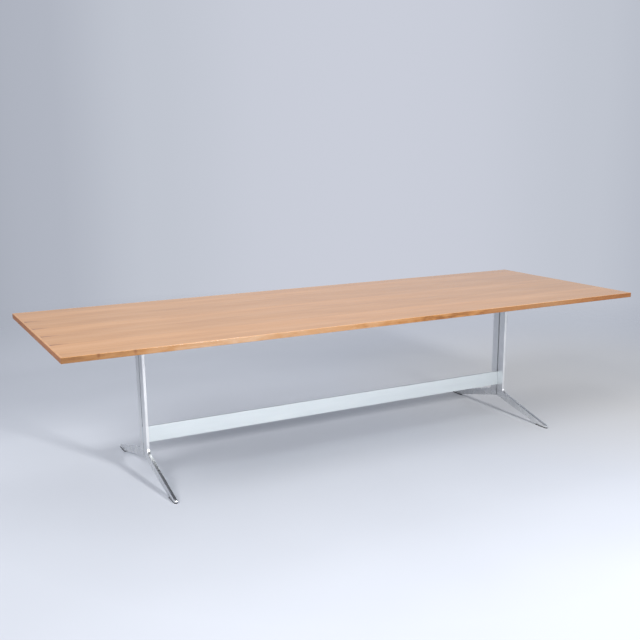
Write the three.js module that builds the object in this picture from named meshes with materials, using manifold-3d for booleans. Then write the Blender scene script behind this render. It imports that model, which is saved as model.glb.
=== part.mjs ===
// Conference table: a veneered rectangular top carried by two slim trestles and one stretcher bar.
// Each trestle is a pair of cast halves, front and rear, that clamp the stretcher between them.
// Millimetres, +Z up, +X along the table. The origin is on the floor under the middle of the top.
import * as THREE from "three";
import { mergeVertices } from "three/addons/utils/BufferGeometryUtils.js";
import Module from "manifold-3d";

// Whole table
const TABLE_LENGTH = 3000;
const TABLE_WIDTH = 1050;
const TABLE_HEIGHT = 720;

// Top: a core board with veneer above, a backing sheet below and solid lippings round its edges
const TOP_THICKNESS = 24;
const VENEER_THICKNESS = 0.9;
const LIPPING_DEPTH = 10;
const LIPPING_ARRIS = 2;
const FRONT_LEFT_LENGTH = 306;
const FRONT_RIGHT_LENGTH = 990;

// Trestle halves
const TRESTLE_SPACING = 2090;
const HALF_THICKNESS = 15;
const UPRIGHT_DEPTH = 46;
const EDGE_ROUND = 3;
const EDGE_LAND = 1;
const KNEE_HEIGHT = 116;
const KNEE_RADIUS = 25;
const FOOT_REACH = 426;
const TOE_HEIGHT = 14;
const TOE_RADIUS = 10;
const ARCH_HEIGHT = 84;

// Rubber glides under the toes
const GLIDE_LENGTH = 84;
const GLIDE_THICKNESS = 5;
const GLIDE_SCREW_INSET = 20;
const GLIDE_SCREW = { head: 3, shank: 1.6, length: 13, land: 0.4 };
const GLIDE_SCREW_SINK = 0.8;

// Stretcher bar in the gap between the halves
const STRETCHER_HEIGHT = 77;
const STRETCHER_THICKNESS = 10;
const STRETCHER_BOTTOM = 150;
const STRETCHER_ARRIS = 0.8;
const BOLT_SPACING = 42;
const BOLT_SINK = 12;
const BOLT_BITE = 22;
const BOLT = { head: 5, headHeight: 6, shank: 3, socket: 2.9, socketDepth: 3 };

// Flat steel bearers that join the trestles to the top
const BEARER_LENGTH = 800;
const BEARER_WIDTH = 50;
const BEARER_THICKNESS = 8;
const BEARER_CORNER = 6;
const LEG_SCREW_SPACING = 24;
const LEG_SCREW = { head: 7.5, shank: 4, length: 32, land: 0.6 };
const WOOD_SCREWS_A_SIDE = 3;
const WOOD_SCREW_PITCH = 125;
const WOOD_SCREW_INSET = 30;
const WOOD_SCREW_BITE = 15;
const WOOD_SCREW = { head: 5.5, headHeight: 3.6, shank: 2.4, point: 5, slotWidth: 1.2, slotDepth: 1.6 };

// Clearances
const GLUE_LINE = 0.1;
const SEAT = 0.2;
const SCREW_CLEARANCE = 0.3;

// How round the pieces are drawn
const FILLET_STEPS = 4;
const EDGE_STEPS = 6;
const SCREW_SIDES = 10;
const DOME_STEPS = 3;

// Levels and offsets that follow from the sizes above
const topUnderside = TABLE_HEIGHT - TOP_THICKNESS;
const bearerTop = topUnderside - SEAT;
const bearerBottom = bearerTop - BEARER_THICKNESS;
const legTop = bearerBottom - SEAT;
const toeCorner = (HALF_THICKNESS - EDGE_LAND) / 2;
const edgeRound = Math.min(EDGE_ROUND, toeCorner, TOE_RADIUS - EDGE_LAND);
const soleHeight = GLIDE_THICKNESS + SEAT;
const innerFace = STRETCHER_THICKNESS / 2 + SEAT;
const outerFace = innerFace + UPRIGHT_DEPTH;
const glideStart = FOOT_REACH - GLIDE_LENGTH;
const stretcherMiddle = STRETCHER_BOTTOM + STRETCHER_HEIGHT / 2;
const boltLevels = { lower: stretcherMiddle - BOLT_SPACING / 2, upper: stretcherMiddle + BOLT_SPACING / 2 };
const legScrewMiddle = innerFace + UPRIGHT_DEPTH / 2;
const legScrewPlaces = {
  inner: legScrewMiddle - LEG_SCREW_SPACING / 2,
  outer: legScrewMiddle + LEG_SCREW_SPACING / 2,
};
const glideScrewPlaces = {
  inner: glideStart + GLIDE_SCREW_INSET,
  outer: FOOT_REACH - GLIDE_SCREW_INSET,
};
const sides = { left: -TRESTLE_SPACING / 2, right: TRESTLE_SPACING / 2 };

const wasm = await Module();
wasm.setup();

// Turns a drawing whose x, y and depth are across, up and along into one lying along the table
const acrossUpAlong = new THREE.Matrix4().makeBasis(
  new THREE.Vector3(0, 1, 0),
  new THREE.Vector3(0, 0, 1),
  new THREE.Vector3(1, 0, 0),
);

const finish = {
  veneer: { color: 0xd8ab8a, roughness: 0.45, metalness: 0 },
  backing: { color: 0x77787a, roughness: 0.7, metalness: 0 },
  lipping: { color: 0xcf9562, roughness: 0.45, metalness: 0 },
  core: { color: 0xb79a72, roughness: 0.9, metalness: 0 },
  casting: { color: 0xc9ccd1, roughness: 0.28, metalness: 1 },
  bar: { color: 0xdde4ea, roughness: 0.35, metalness: 1 },
  bearer: { color: 0x3a3b3d, roughness: 0.6, metalness: 0.5 },
  rubber: { color: 0x161617, roughness: 0.8, metalness: 0 },
  screw: { color: 0xa9abae, roughness: 0.35, metalness: 1 },
};

const table = new THREE.Group();

function addPiece(name, geometry, look) {
  const mesh = new THREE.Mesh(geometry, new THREE.MeshStandardMaterial(finish[look]));
  mesh.name = name;
  table.add(mesh);
  return mesh;
}

// A closed outline from corners [x, y, radius], with an arc at each corner that has a radius
function roundedShape(corners) {
  const shape = new THREE.Shape();
  const points = corners.map(([x, y]) => new THREE.Vector2(x, y));
  corners.forEach(([, , radius], index) => {
    const corner = points[index];
    if (!radius) {
      if (index === 0) shape.moveTo(corner.x, corner.y);
      else shape.lineTo(corner.x, corner.y);
      return;
    }
    const back = points.at(index - 1).clone().sub(corner).normalize();
    const ahead = points[(index + 1) % points.length].clone().sub(corner).normalize();
    const halfAngle = Math.acos(back.dot(ahead)) / 2;
    const start = corner.clone().addScaledVector(back, radius / Math.tan(halfAngle));
    const end = corner.clone().addScaledVector(ahead, radius / Math.tan(halfAngle));
    const inward = back.clone().add(ahead).normalize();
    const centre = corner.clone().addScaledVector(inward, radius / Math.sin(halfAngle));
    if (index === 0) shape.moveTo(start.x, start.y);
    else shape.lineTo(start.x, start.y);
    const from = start.sub(centre).angle();
    const to = end.sub(centre).angle();
    shape.absarc(centre.x, centre.y, radius, from, to, back.cross(ahead) > 0);
  });
  shape.closePath();
  return shape;
}

function extrude(shape, depth) {
  return new THREE.ExtrudeGeometry(shape, { depth, bevelEnabled: false, curveSegments: FILLET_STEPS });
}

// A turned piece about Z, from profile points [radius, height] listed from its top to its bottom
function turned(profile) {
  const points = profile.map(([radius, height]) => new THREE.Vector2(radius, height)).reverse();
  return new THREE.LatheGeometry(points, SCREW_SIDES).rotateX(Math.PI / 2);
}

function solidOf(geometry) {
  const bare = geometry.clone();
  bare.deleteAttribute("normal");
  bare.deleteAttribute("uv");
  const merged = mergeVertices(bare, 1e-4);
  const index = merged.index.array;
  const triangles = [];
  for (let i = 0; i < index.length; i += 3) {
    const [a, b, c] = index.slice(i, i + 3);
    if (a !== b && b !== c && c !== a) triangles.push(a, b, c);
  }
  const vertProperties = new Float32Array(merged.attributes.position.array);
  const triVerts = new Uint32Array(triangles);
  return new wasm.Manifold(new wasm.Mesh({ numProp: 3, vertProperties, triVerts }));
}

function geometryOf(solid) {
  const mesh = solid.getMesh();
  const indexed = new THREE.BufferGeometry();
  indexed.setAttribute("position", new THREE.BufferAttribute(mesh.vertProperties, 3));
  indexed.setIndex(new THREE.BufferAttribute(mesh.triVerts, 1));
  const geometry = indexed.toNonIndexed();
  geometry.computeVertexNormals();
  return geometry;
}

function cut(geometry, cutters) {
  return geometryOf(cutters.reduce((solid, cutter) => solid.subtract(solidOf(cutter)), solidOf(geometry)));
}

// Countersunk screw pointing down, its head's top at the origin. A hole is the screw grown all round.
function countersunk({ head, shank, length, land }, grow = 0, above = 0) {
  const cone = head - shank;
  return turned([
    [0, above],
    [head + grow, above],
    [head + grow, -land],
    [shank + grow, -land - cone],
    [shank + grow, -length - grow],
    [0, -length - grow],
  ]);
}

// Veneered top

const woodScrewRows = [];
for (let count = 0; count < WOOD_SCREWS_A_SIDE; count += 1) {
  const reach = BEARER_LENGTH / 2 - WOOD_SCREW_INSET - count * WOOD_SCREW_PITCH;
  woodScrewRows.push(-reach, reach);
}
const woodScrewTip = topUnderside + WOOD_SCREW_BITE;
const woodScrewLength = woodScrewTip - bearerBottom + SEAT;

function woodScrewHole(x, y) {
  const bottom = bearerBottom - BEARER_THICKNESS;
  const depth = woodScrewTip + SCREW_CLEARANCE - bottom;
  const radius = WOOD_SCREW.shank + SCREW_CLEARANCE;
  const hole = new THREE.CylinderGeometry(radius, radius, depth, SCREW_SIDES).rotateX(Math.PI / 2);
  return hole.translate(x, y, bottom + depth / 2);
}

const woodScrewHoles = Object.values(sides).flatMap((x) => woodScrewRows.map((y) => woodScrewHole(x, y)));

function addPanels() {
  const length = TABLE_LENGTH - 2 * (LIPPING_DEPTH + GLUE_LINE);
  const width = TABLE_WIDTH - 2 * (LIPPING_DEPTH + GLUE_LINE);
  const coreThickness = TOP_THICKNESS - 2 * (VENEER_THICKNESS + GLUE_LINE);
  const board = (thickness, bottom) =>
    new THREE.BoxGeometry(length, width, thickness).translate(0, 0, bottom + thickness / 2);
  const coreBottom = topUnderside + VENEER_THICKNESS + GLUE_LINE;
  addPiece("top_core", cut(board(coreThickness, coreBottom), woodScrewHoles), "core");
  addPiece("top_veneer", board(VENEER_THICKNESS, TABLE_HEIGHT - VENEER_THICKNESS), "veneer");
  addPiece("underside_backing", cut(board(VENEER_THICKNESS, topUnderside), woodScrewHoles), "backing");
}

// A lipping along +X whose outer face looks to -Y. A mitred end is cut back by its depth.
function lipping(start, end, mitredStart = false, mitredEnd = false) {
  const section = roundedShape([
    [0, 0, LIPPING_ARRIS],
    [LIPPING_DEPTH, 0],
    [LIPPING_DEPTH, TOP_THICKNESS],
    [0, TOP_THICKNESS, LIPPING_ARRIS],
  ]);
  const first = start + GLUE_LINE;
  const length = end - GLUE_LINE - first;
  const geometry = extrude(section, length);
  const place = geometry.attributes.position;
  for (let i = 0; i < place.count; i += 1) {
    const atStart = place.getZ(i) < length / 2;
    if (atStart && mitredStart) place.setZ(i, place.getX(i));
    if (!atStart && mitredEnd) place.setZ(i, length - place.getX(i));
  }
  return geometry.translate(0, 0, first).applyMatrix4(acrossUpAlong);
}

function addLippings() {
  const halfLength = TABLE_LENGTH / 2;
  const halfWidth = TABLE_WIDTH / 2;
  const rightJoint = TABLE_LENGTH - FRONT_RIGHT_LENGTH;
  const acrossEnd = lipping(0, TABLE_WIDTH, true, true);
  const runs = [
    ["front_lipping_left", lipping(0, FRONT_LEFT_LENGTH, true, false), -halfLength, -halfWidth, 0],
    ["front_lipping_middle", lipping(FRONT_LEFT_LENGTH, rightJoint), -halfLength, -halfWidth, 0],
    ["front_lipping_right", lipping(rightJoint, TABLE_LENGTH, false, true), -halfLength, -halfWidth, 0],
    ["right_end_lipping", acrossEnd, halfLength, -halfWidth, Math.PI / 2],
    ["back_lipping", lipping(0, TABLE_LENGTH, true, true), halfLength, halfWidth, Math.PI],
    ["left_end_lipping", acrossEnd, -halfLength, halfWidth, -Math.PI / 2],
  ];
  for (const [name, geometry, x, y, turn] of runs) {
    const piece = addPiece(name, geometry, "lipping");
    piece.position.set(x, y, topUnderside);
    piece.rotation.z = turn;
  }
}

// Trestles. A half is drawn as the rear one: x is the distance from the middle plane, y is the height.

function legScrewHole(reach) {
  const hole = countersunk(LEG_SCREW, SCREW_CLEARANCE, BEARER_THICKNESS);
  return hole.translate(0, reach, bearerTop - SEAT);
}

function glideScrew(reach, grow = 0, below = 0) {
  const screw = countersunk(GLIDE_SCREW, grow, below).rotateX(Math.PI);
  return screw.translate(0, reach, GLIDE_SCREW_SINK);
}

const glideScrewHoles = Object.values(glideScrewPlaces).map((reach) =>
  glideScrew(reach, SCREW_CLEARANCE, GLIDE_THICKNESS),
);

// A bolt from the rear half to the front half: its head is sunk in the rear edge, its end bites in front
const boltSeat = outerFace - BOLT_SINK;
const boltLength = boltSeat + innerFace + BOLT_BITE;

function boltBody(grow, above) {
  return turned([
    [0, BOLT.headHeight + above],
    [BOLT.head + grow, BOLT.headHeight + above],
    [BOLT.head + grow, grow ? -SEAT : 0],
    [BOLT.shank + grow, grow ? -SEAT : 0],
    [BOLT.shank + grow, -boltLength - grow],
    [0, -boltLength - grow],
  ]);
}

function boltHole(level) {
  const hole = boltBody(SCREW_CLEARANCE, KNEE_RADIUS + BOLT_SINK);
  return hole.rotateX(-Math.PI / 2).translate(0, boltSeat, level);
}

// The end of a foot seen from above, from a start to the round tip of its toe
function toePlan(start) {
  const halfWidth = HALF_THICKNESS / 2;
  return roundedShape([
    [-halfWidth, start],
    [halfWidth, start],
    [halfWidth, FOOT_REACH, toeCorner],
    [-halfWidth, FOOT_REACH, toeCorner],
  ]);
}

// One half: an outline with eased outer edges, drawn past the flat faces and then cut back to them
function legHalf() {
  const spare = 2 * HALF_THICKNESS;
  const outline = roundedShape([
    [innerFace - spare, -spare],
    [FOOT_REACH, -spare],
    [FOOT_REACH, TOE_HEIGHT, TOE_RADIUS],
    [outerFace, KNEE_HEIGHT, KNEE_RADIUS],
    [outerFace, legTop + spare],
    [innerFace - spare, legTop + spare],
  ]);
  const easedEdges = new THREE.ExtrudeGeometry(outline, {
    depth: HALF_THICKNESS - 2 * edgeRound,
    bevelThickness: edgeRound,
    bevelSize: edgeRound,
    bevelOffset: -edgeRound,
    bevelSegments: EDGE_STEPS,
    curveSegments: FILLET_STEPS,
  });
  easedEdges.translate(0, 0, edgeRound - HALF_THICKNESS / 2);
  const kept = roundedShape([
    [innerFace, ARCH_HEIGHT],
    [glideStart, soleHeight],
    [FOOT_REACH + spare, soleHeight],
    [FOOT_REACH + spare, legTop],
    [innerFace, legTop],
  ]);
  const keptBlock = extrude(kept, 2 * HALF_THICKNESS).translate(0, 0, -HALF_THICKNESS);
  const half = solidOf(easedEdges).intersect(solidOf(keptBlock));
  const squareToed = geometryOf(half).applyMatrix4(acrossUpAlong);
  const plan = extrude(toePlan(innerFace - spare), legTop + spare);
  return geometryOf(solidOf(squareToed).intersect(solidOf(plan)));
}

function addTrestle(side, x) {
  const plain = legHalf();
  const ownHoles = [...Object.values(legScrewPlaces).map(legScrewHole), ...glideScrewHoles];
  const boltHoles = Object.values(boltLevels).map(boltHole);
  const turnedRound = boltHoles.map((hole) => hole.clone().rotateZ(Math.PI));
  const halves = { front: [...ownHoles, ...turnedRound], rear: [...ownHoles, ...boltHoles] };
  for (const [place, holes] of Object.entries(halves)) {
    const turn = place === "front" ? Math.PI : 0;
    const half = addPiece(`${side}_${place}_leg`, cut(plain, holes).rotateZ(turn), "casting");
    half.position.x = x;
    addGlide(`${side}_${place}`, x, turn);
    addLegScrews(`${side}_${place}`, x, turn);
  }
  addBearer(side, x);
  addStretcherBolts(side, x);
}

function addLegScrews(prefix, x, turn) {
  for (const [place, reach] of Object.entries(legScrewPlaces)) {
    const screw = countersunk(LEG_SCREW).translate(0, reach, bearerTop - SEAT).rotateZ(turn);
    addPiece(`${prefix}_leg_screw_${place}`, screw, "screw").position.x = x;
  }
}

// Glide with the toe's round end, and the two screws that hold it from below
function addGlide(prefix, x, turn) {
  const pad = extrude(toePlan(glideStart), GLIDE_THICKNESS);
  const glide = cut(pad, glideScrewHoles).rotateZ(turn);
  addPiece(`${prefix}_glide`, glide, "rubber").position.x = x;
  for (const [place, reach] of Object.entries(glideScrewPlaces)) {
    const screw = glideScrew(reach).rotateZ(turn);
    addPiece(`${prefix}_glide_screw_${place}`, screw, "screw").position.x = x;
  }
}

// Bearer under the top, drilled for the leg screws and the wood screws
function addBearer(side, x) {
  const halfWidth = BEARER_WIDTH / 2;
  const halfLength = BEARER_LENGTH / 2;
  const plan = roundedShape([
    [-halfWidth, -halfLength, BEARER_CORNER],
    [halfWidth, -halfLength, BEARER_CORNER],
    [halfWidth, halfLength, BEARER_CORNER],
    [-halfWidth, halfLength, BEARER_CORNER],
  ]);
  const legHoles = Object.values(legScrewPlaces)
    .flatMap((reach) => [reach, -reach])
    .map(legScrewHole);
  const woodHoles = woodScrewRows.map((y) => woodScrewHole(0, y));
  const bar = extrude(plan, BEARER_THICKNESS).translate(0, 0, bearerBottom);
  addPiece(`${side}_bearer`, cut(bar, [...legHoles, ...woodHoles]), "bearer").position.x = x;
  woodScrewRows.forEach((y, index) => {
    const screw = addPiece(`${side}_wood_screw_${index + 1}`, woodScrew(), "screw");
    screw.position.set(x, y, bearerBottom - SEAT);
  });
}

// Slotted round-head wood screw pointing up, the underside of its head at the origin
function woodScrew() {
  const dome = [];
  for (let step = 0; step <= DOME_STEPS; step += 1) {
    const angle = (step / DOME_STEPS) * (Math.PI / 2);
    dome.push([WOOD_SCREW.head * Math.sin(angle), WOOD_SCREW.headHeight * Math.cos(angle)]);
  }
  const body = turned([
    ...dome,
    [WOOD_SCREW.shank, 0],
    [WOOD_SCREW.shank, WOOD_SCREW.point - woodScrewLength],
    [0, -woodScrewLength],
  ]);
  const slot = new THREE.BoxGeometry(3 * WOOD_SCREW.head, WOOD_SCREW.slotWidth, 2 * WOOD_SCREW.slotDepth);
  slot.translate(0, 0, WOOD_SCREW.headHeight);
  return cut(body, [slot]).rotateX(Math.PI);
}

function addStretcherBolts(side, x) {
  const hexagonSides = 6;
  const socket = new THREE.CylinderGeometry(BOLT.socket, BOLT.socket, 2 * BOLT.socketDepth, hexagonSides);
  socket.rotateX(Math.PI / 2).translate(0, 0, BOLT.headHeight);
  for (const [place, level] of Object.entries(boltLevels)) {
    const bolt = cut(boltBody(0, 0), [socket]).rotateX(-Math.PI / 2).translate(0, boltSeat, level);
    addPiece(`${side}_stretcher_bolt_${place}`, bolt, "screw").position.x = x;
  }
}

// Stretcher: a flat bar with eased edges that ends flush with the outer faces of the halves
function addStretcher() {
  const halfThickness = STRETCHER_THICKNESS / 2;
  const top = STRETCHER_BOTTOM + STRETCHER_HEIGHT;
  const section = roundedShape([
    [-halfThickness, STRETCHER_BOTTOM, STRETCHER_ARRIS],
    [halfThickness, STRETCHER_BOTTOM, STRETCHER_ARRIS],
    [halfThickness, top, STRETCHER_ARRIS],
    [-halfThickness, top, STRETCHER_ARRIS],
  ]);
  const length = TRESTLE_SPACING + HALF_THICKNESS;
  const bar = extrude(section, length).translate(0, 0, -length / 2).applyMatrix4(acrossUpAlong);
  const holes = Object.values(sides).flatMap((x) =>
    Object.values(boltLevels).map((level) => boltHole(level).translate(x, 0, 0)),
  );
  addPiece("stretcher", cut(bar, holes), "bar");
}

addPanels();
addLippings();
addStretcher();
for (const [side, x] of Object.entries(sides)) addTrestle(side, x);

export default table;
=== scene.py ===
# Conference table: the looks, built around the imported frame.
# Metres, +Z up, +X along the table. The front long side looks towards -Y.
import math

import bmesh
import bpy
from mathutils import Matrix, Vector


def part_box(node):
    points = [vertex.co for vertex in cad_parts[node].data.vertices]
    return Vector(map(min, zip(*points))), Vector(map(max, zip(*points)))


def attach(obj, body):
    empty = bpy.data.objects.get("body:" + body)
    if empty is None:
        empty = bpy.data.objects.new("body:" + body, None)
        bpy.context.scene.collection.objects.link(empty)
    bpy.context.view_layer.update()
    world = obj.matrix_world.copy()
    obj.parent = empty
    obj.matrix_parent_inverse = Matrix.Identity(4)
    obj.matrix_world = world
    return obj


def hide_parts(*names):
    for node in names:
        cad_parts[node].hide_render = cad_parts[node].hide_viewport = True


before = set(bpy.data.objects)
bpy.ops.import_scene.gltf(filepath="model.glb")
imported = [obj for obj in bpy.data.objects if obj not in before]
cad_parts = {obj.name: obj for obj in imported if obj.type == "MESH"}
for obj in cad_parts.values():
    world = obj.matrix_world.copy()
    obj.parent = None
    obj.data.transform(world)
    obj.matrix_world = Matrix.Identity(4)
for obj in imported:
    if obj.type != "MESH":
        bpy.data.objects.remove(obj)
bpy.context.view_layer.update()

MM = 0.001
TOUCH = 0.01 * MM
SIDES = ("left", "right")
PLACES = ("front", "rear")
SCREW_PLACES = ("inner", "outer")
BOLT_LEVELS = ("lower", "upper")

# How far the normal of a face has to turn to a side to face it, or only to lean that way
FACING = 0.9
LEANING = 0.1
DOWNWARD = -0.5
SMOOTH_ANGLE = math.radians(35)

# Trestle halves, as in the cast pieces of the frame
UPRIGHT_DEPTH = 46 * MM
EDGE_ROUND = 3 * MM
EDGE_BREAK = 1.2 * MM
GAP_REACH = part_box("right_rear_leg")[0][1] + TOUCH
KNEE_HEIGHT = 116 * MM
KNEE_RADIUS = 25 * MM
TOE_HEIGHT = 14 * MM
TOE_RADIUS = 10 * MM
TOE_CORNER = 7 * MM
ARCH_HEIGHT = 84 * MM
GLIDE_LENGTH = 84 * MM
ROUND_STEPS = 8
EDGE_BREAK_STEPS = 3
ROD_SIDES = 32

# Stretcher and its bolts
STRETCHER_ARRIS = 0.8 * MM
BOLT_HEAD_RADIUS = 5 * MM
BOLT_HEAD_HEIGHT = 6 * MM
BOLT_SHANK_RADIUS = 3 * MM
BOLT_SOCKET_RADIUS = 2.9 * MM
BOLT_SOCKET_DEPTH = 3 * MM
BOLT_SOCKET_SIDES = 6
BOLT_CHAMFER = 0.6 * MM
BOLT_HOLE_GAP = 0.3 * MM
BOLT_SIDES = 48

# Screws
LEG_SCREW_RADIUS = 4 * MM
GLIDE_SCREW_RADIUS = 1.6 * MM
SCREW_GAP = 0.3 * MM
WOOD_SCREWS_A_BEARER = 6
SCREW_HEAD_HEIGHT = 3.6 * MM
SCREW_SHANK_RADIUS = 2.4 * MM
SCREW_POINT = 5 * MM
SCREW_SLOT_WIDTH = 1.2 * MM
SCREW_SLOT_DEPTH = 1.6 * MM

# Lippings round the top
LIPPING_DEPTH = 10 * MM
LIPPING_ARRIS = 2 * MM
LIPPING_STEPS = 5

# Wood: leaves of veneer laid side by side, with hairline seams and short dark marks at the left end of the
# seams. Each width is a span from full strength to none.
LEAF_WIDTH = 182 * MM
FIRST_SEAM = 84 * MM
SLICE_SHIFT = 6 * MM
# Light and dark leaves, each light one brightest towards one edge: partly the leaves' own tone, partly
# painted sheen
LEAF_TONES_AND_SHEEN = (
    (0.0, "#F8F8F8"),
    (0.04, "#F5F5F5"),
    (0.48, "#F5F5F5"),
    (0.62, "#F9F9F9"),
    (0.86, "#FFFFFF"),
    (0.96, "#FFFFFF"),
    (1.0, "#F8F8F8"),
)
HAIRLINE_WIDTH = (0.3 * MM, 1.2 * MM)
HAIRLINE_SHADE = 0.3
SEAM_MARK_WIDTH = (2 * MM, 11 * MM)
SEAM_MARK_LENGTH = (-1.488, -1.41)
SEAM_MARK_SHADE = 0.85
SEAM_MARK_SPREAD = 360 * MM

# Wood: its markings in millimetres, along the grain, across it and into the wood, and how much each counts
BEND_SIZE = (700, 160, 160)
BEND_SWAY = 16 * MM
BROAD_SIZE = (450, 80, 80)
STREAK_SIZE = (320, 12, 12)
STREAK_SHARE = 0.35
FINE_SIZE = (180, 2.6, 2.6)
FINE_SHARE = 0.2
CURL_SIZE = (60, 14, 14)
QUIET_CURL = 0.4
LIVELY_CURL = 0.6
PORE_SIZE = (14, 0.9, 0.9)
PORE_SPAN = (0.62, 0.74)
PORE_SHADE = 0.22
GUM_SIZE = (150, 16, 16)
GUM_COLOUR = "#7A3F1E"
GUM_REACH = (0.04, 0.13)
GUM_SHADE = 0.5
GUM_CHANCE = (0.9, 0.92)
KNOT_COLOUR = "#6A3312"
KNOT_SQUEEZE = (1.4, 1, 0.7)
KNOT_CORE = 0.2
KNOT_SHADE = 0.5
LEFT_KNOTS = (((-1.357, -0.525, 0.716), 12 * MM), ((-1.212, -0.525, 0.714), 14 * MM))

# Wood: tones from the dark streaks to the pale ones, and where along the front a lipping starts to pale, is
# palest and has its own tone again. On the left and middle lengths this paling is a painted highlight of
# the front lamp.
VENEER_TONES = ((0.3, "#CE9358"), (0.5, "#DDA368"), (0.7, "#E8B27D"))
# Side-face tones of the lippings, darker than their upper faces: partly their own wood, partly painted
# shade
LEFT_TONES = ((0.36, "#7C522C"), (0.5, "#94673B"), (0.7, "#AE7E4E"), (1.0, "#BC8E66"))
MIDDLE_TONES = ((0.38, "#84552B"), (0.5, "#A26F3D"), (0.66, "#B08154"), (1.0, "#C29E7E"))
RIGHT_TONES = ((0.32, "#784820"), (0.5, "#8A5628"), (0.72, "#97673C"), (0.93, "#996F48"), (1.0, "#A07850"))
END_TONES = ((0.3, "#935D3B"), (0.5, "#A26B48"), (0.7, "#B17A56"))
PALING = 0.45
LEFT_PAINTED_HIGHLIGHT = (-1.5, -0.7, 0.34)
MIDDLE_PAINTED_HIGHLIGHT = (-1.36, -0.8, 0.29)
RIGHT_PALING = (0.1, 0.95, 1.2)
UPPER_FACE = (0.4, 0.75)
SATIN = (0.15, 0.25)
MATT = (0.55, 0.7)
LACQUER_IOR = 1.5

# Studio: a pale cool sweep, brightest behind the table, and soft lamps in three places: name, place, aim,
# size in metres, power in watts and whether it shows in reflections. The front lamp is a pair in one place,
# one for the top and one for the rest.
FLOOR_RADIUS = 12
FLOOR_SIDES = 96
FLOOR_FADE = (1.9, 5.0)
FLOOR_TONES = ((0.3, "#D2D7E1"), (0.7, "#D6DBE5"))
# Right of the table the floor turns a neutral grey: a painted tint of the light there, less blue
FLOOR_GREY = "#D9DADC"
FLOOR_ROUGHNESS = 0.6
FLOOR_GREY_PLACE = (2.2, 0.2, 0.0)
FLOOR_GREY_REACH = (0.7, 1.9)
SWEEP_AXIS = (0.515, 0.857, 0.0)
SWEEP_TONES = (
    (0.1, "#E2E6EE"),
    (0.25, "#A6ABB6"),
    (0.37, "#F0F3F9"),
    (0.5, "#B4B9C4"),
    (0.75, "#8C919C"),
    (0.883, "#8C919C"),
    (0.945, "#A0A5B0"),
    (0.97, "#B0B5C1"),
    (0.987, "#C1C6D1"),
    (1.0, "#CACEDA"),
)
AMBIENT_COLOUR = "#E9EDF6"
AMBIENT_LEVEL = 0.464
LAMP_COLOUR = "#FFFDFA"
LAMPS = (
    ("front", (0.92, -5.12, 2.68), (0.1, 0, 0.4), 0.8, 250, True),
    ("front_for_top", (0.92, -5.12, 2.68), (0.1, 0, 0.4), 0.8, 250, False),
    ("high_left", (-4.63, -1.9, 4.25), (-0.2, 0, 0.6), 2.5, 179, True),
    ("back", (0.0, 1.7, 3.0), (0.0, 1.4, 0.0), 0.9, 13.8, False),
)

# Camera: place in metres, tilt, roll and heading in degrees, lens and sensor in millimetres, and its
# shift in frames
CAMERA_PLACE = (-2.1559, -3.8622, 1.4988)
CAMERA_ANGLES = (76.386, 0.199, -29.163)
CAMERA_LENS = 49.66
CAMERA_SENSOR = 36
CAMERA_SHIFT = (-0.03, 0.060)


# Modelling tools: each acts on the piece that is open in edit mode


def deselect():
    """Leaves edit mode, with nothing selected."""
    if bpy.context.object and bpy.context.object.mode == "EDIT":
        bpy.ops.object.mode_set(mode="OBJECT")
    bpy.ops.object.select_all(action="DESELECT")


def open_piece(name):
    """Names the primitive that was just added, puts its place in its mesh and opens it for editing."""
    piece = bpy.context.object
    piece.name = piece.data.name = name
    bpy.ops.object.transform_apply(location=True, rotation=True, scale=True)
    bpy.ops.object.mode_set(mode="EDIT")
    return piece


def block(name, low, high):
    """A box between two corners, open for editing."""
    deselect()
    low, high = Vector(low), Vector(high)
    bpy.ops.mesh.primitive_cube_add(size=1, location=(low + high) / 2, scale=high - low)
    return open_piece(name)


def pick(kind, test):
    """Selects only the vertices, edges or faces that pass a test."""
    bpy.ops.mesh.select_mode(type=kind)
    bpy.ops.mesh.select_all(action="DESELECT")
    shape = bmesh.from_edit_mesh(bpy.context.object.data)
    parts = {"VERT": shape.verts, "EDGE": shape.edges, "FACE": shape.faces}[kind]
    for part in parts:
        if test(part):
            part.select_set(True)
    shape.select_flush_mode()
    bmesh.update_edit_mesh(bpy.context.object.data)


def lies_at(part, **place):
    """Whether every corner of an edge or face has the given x, y or z."""
    return all(
        abs(getattr(corner.co, axis) - value) < TOUCH
        for corner in part.verts
        for axis, value in place.items()
    )


def is_upright(edge):
    """Whether an edge runs along Z."""
    one, two = (corner.co for corner in edge.verts)
    return abs(one.x - two.x) < TOUCH and abs(one.y - two.y) < TOUCH


def joins(edge, first, second):
    """Whether an edge joins a face whose normal passes one test to a face that passes another."""
    if len(edge.link_faces) != 2:
        return False
    one, two = (face.normal for face in edge.link_faces)
    return (first(one) and second(two)) or (first(two) and second(one))


def round_off(offset, steps):
    """Rounds the picked edges."""
    bpy.ops.mesh.bevel(offset_type="OFFSET", offset=offset, segments=steps, profile=0.5, affect="EDGES")


def smooth(piece):
    """Closes the piece, shades its rounds smooth and keeps its large faces flat."""
    bpy.ops.object.mode_set(mode="OBJECT")
    deselect()
    piece.select_set(True)
    bpy.context.view_layer.objects.active = piece
    bpy.ops.object.shade_smooth_by_angle(angle=SMOOTH_ANGLE)
    piece.modifiers.new("flat_faces", "WEIGHTED_NORMAL").keep_sharp = True
    bpy.ops.object.modifier_apply(modifier="flat_faces")
    return piece


def cut_away(piece, cutter, operation="DIFFERENCE"):
    """Cuts the shape of one object out of a piece, or, as an intersection, cuts away all but that shape."""
    deselect()
    bpy.context.view_layer.objects.active = piece
    piece.select_set(True)
    knife = piece.modifiers.new("cut", "BOOLEAN")
    knife.operation = operation
    knife.object = cutter
    bpy.ops.object.modifier_apply(modifier="cut")
    bpy.data.objects.remove(cutter)


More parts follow.
